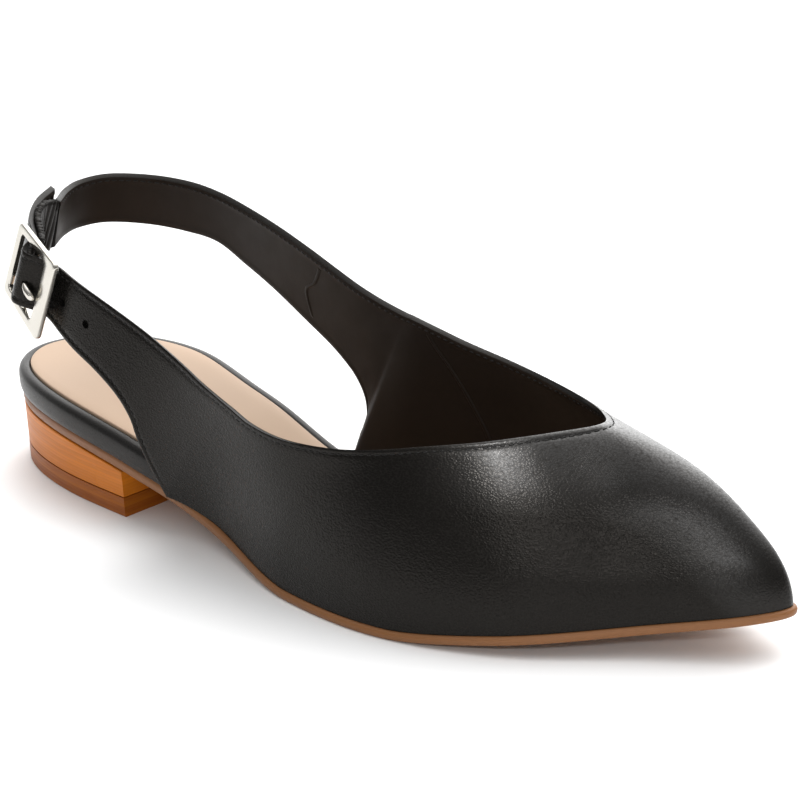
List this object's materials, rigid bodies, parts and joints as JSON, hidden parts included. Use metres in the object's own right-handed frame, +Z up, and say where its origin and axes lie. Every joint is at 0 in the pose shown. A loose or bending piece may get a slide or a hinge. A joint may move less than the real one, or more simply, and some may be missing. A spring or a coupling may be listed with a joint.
{
  "type": "sling back flat",
  "caption": "Pointed leather sling back flat, right shoe: low vamp, open waist, buckled heel strap, low stacked block heel.",
  "frame": {"origin": "on the floor under the middle of the heel", "axes": "+X toward the toe, +Y toward the inner (medial) side of the foot, +Z up"},
  "size_m": [0.2667, 0.085, 0.0856],
  "materials": {
    "top_piece": "satin dark brown top piece",
    "stacked_heel": "waxed stacked heel with fine layers",
    "sole_edge": "burnished sole edge",
    "black_leather": "smooth black leather with a fine grain",
    "sock_leather": "matt beige sock lining",
    "buckle_metal": "polished pale metal"
  },
  "bodies": {
    "root": {"heel_top_piece": "top_piece", "heel_block": "stacked_heel", "outsole": "sole_edge", "footbed": "black_leather", "insole": "sock_leather", "upper": "black_leather", "buckle_loop": "black_leather", "buckle_frame": "buckle_metal", "buckle_pin": "buckle_metal", "buckle_prong": "buckle_metal"}
  },
  "joints": []
}
